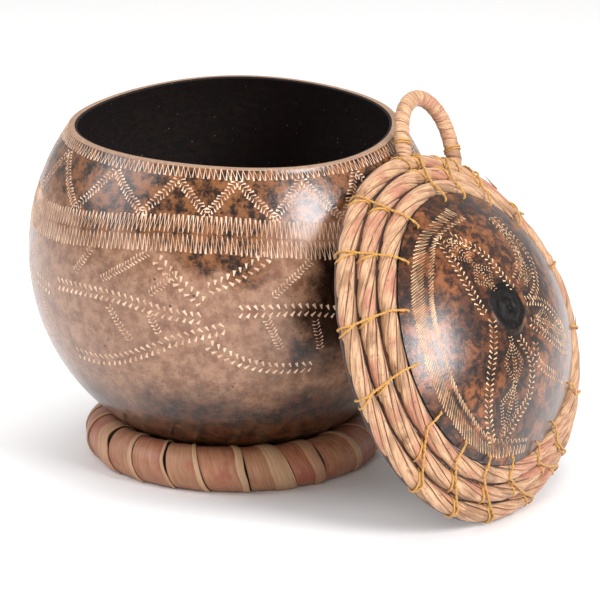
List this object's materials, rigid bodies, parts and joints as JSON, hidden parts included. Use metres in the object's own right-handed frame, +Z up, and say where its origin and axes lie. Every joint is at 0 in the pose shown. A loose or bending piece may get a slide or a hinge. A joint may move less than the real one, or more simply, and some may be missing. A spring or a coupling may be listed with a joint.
{
  "type": "dried gourd bowl with leaning coiled-rim lid",
  "caption": "Round bowl cut from a dried gourd, sitting on a bark-wrapped ring, with its domed gourd lid leaning on it; the lid has a coiled straw rim and a loop handle.",
  "frame": {"origin": "middle of the footprint box on the surface that the object stands on", "axes": "+Z up, the bowl's front towards -Y, the lid leaning on the bowl's +X and -Y side"},
  "size_m": [0.2818, 0.2638, 0.194],
  "materials": {
    "lacquered_gourd": "glossy lacquer over mottled brown gourd, engraved",
    "dark_lacquered_gourd": "glossy lacquer over dark mottled gourd, engraved",
    "bark_strip": "dry, fibrous, slightly glossy",
    "leaf_coil": "dry straw, fibrous",
    "thread": "waxed fibre thread"
  },
  "bodies": {
    "root": {"base_ring": "bark_strip", "gourd_bowl": "lacquered_gourd", "gourd_lid": "dark_lacquered_gourd", "handle_loop": "leaf_coil", "rim_coil": "leaf_coil", "stitch_01": "thread", "stitch_02": "thread", "stitch_03": "thread", "stitch_04": "thread", "stitch_05": "thread", "stitch_06": "thread", "stitch_07": "thread", "stitch_08": "thread", "stitch_09": "thread", "stitch_10": "thread", "stitch_11": "thread", "stitch_12": "thread", "stitch_13": "thread", "stitch_14": "thread", "stitch_15": "thread", "stitch_16": "thread", "stitch_17": "thread"}
  },
  "joints": []
}
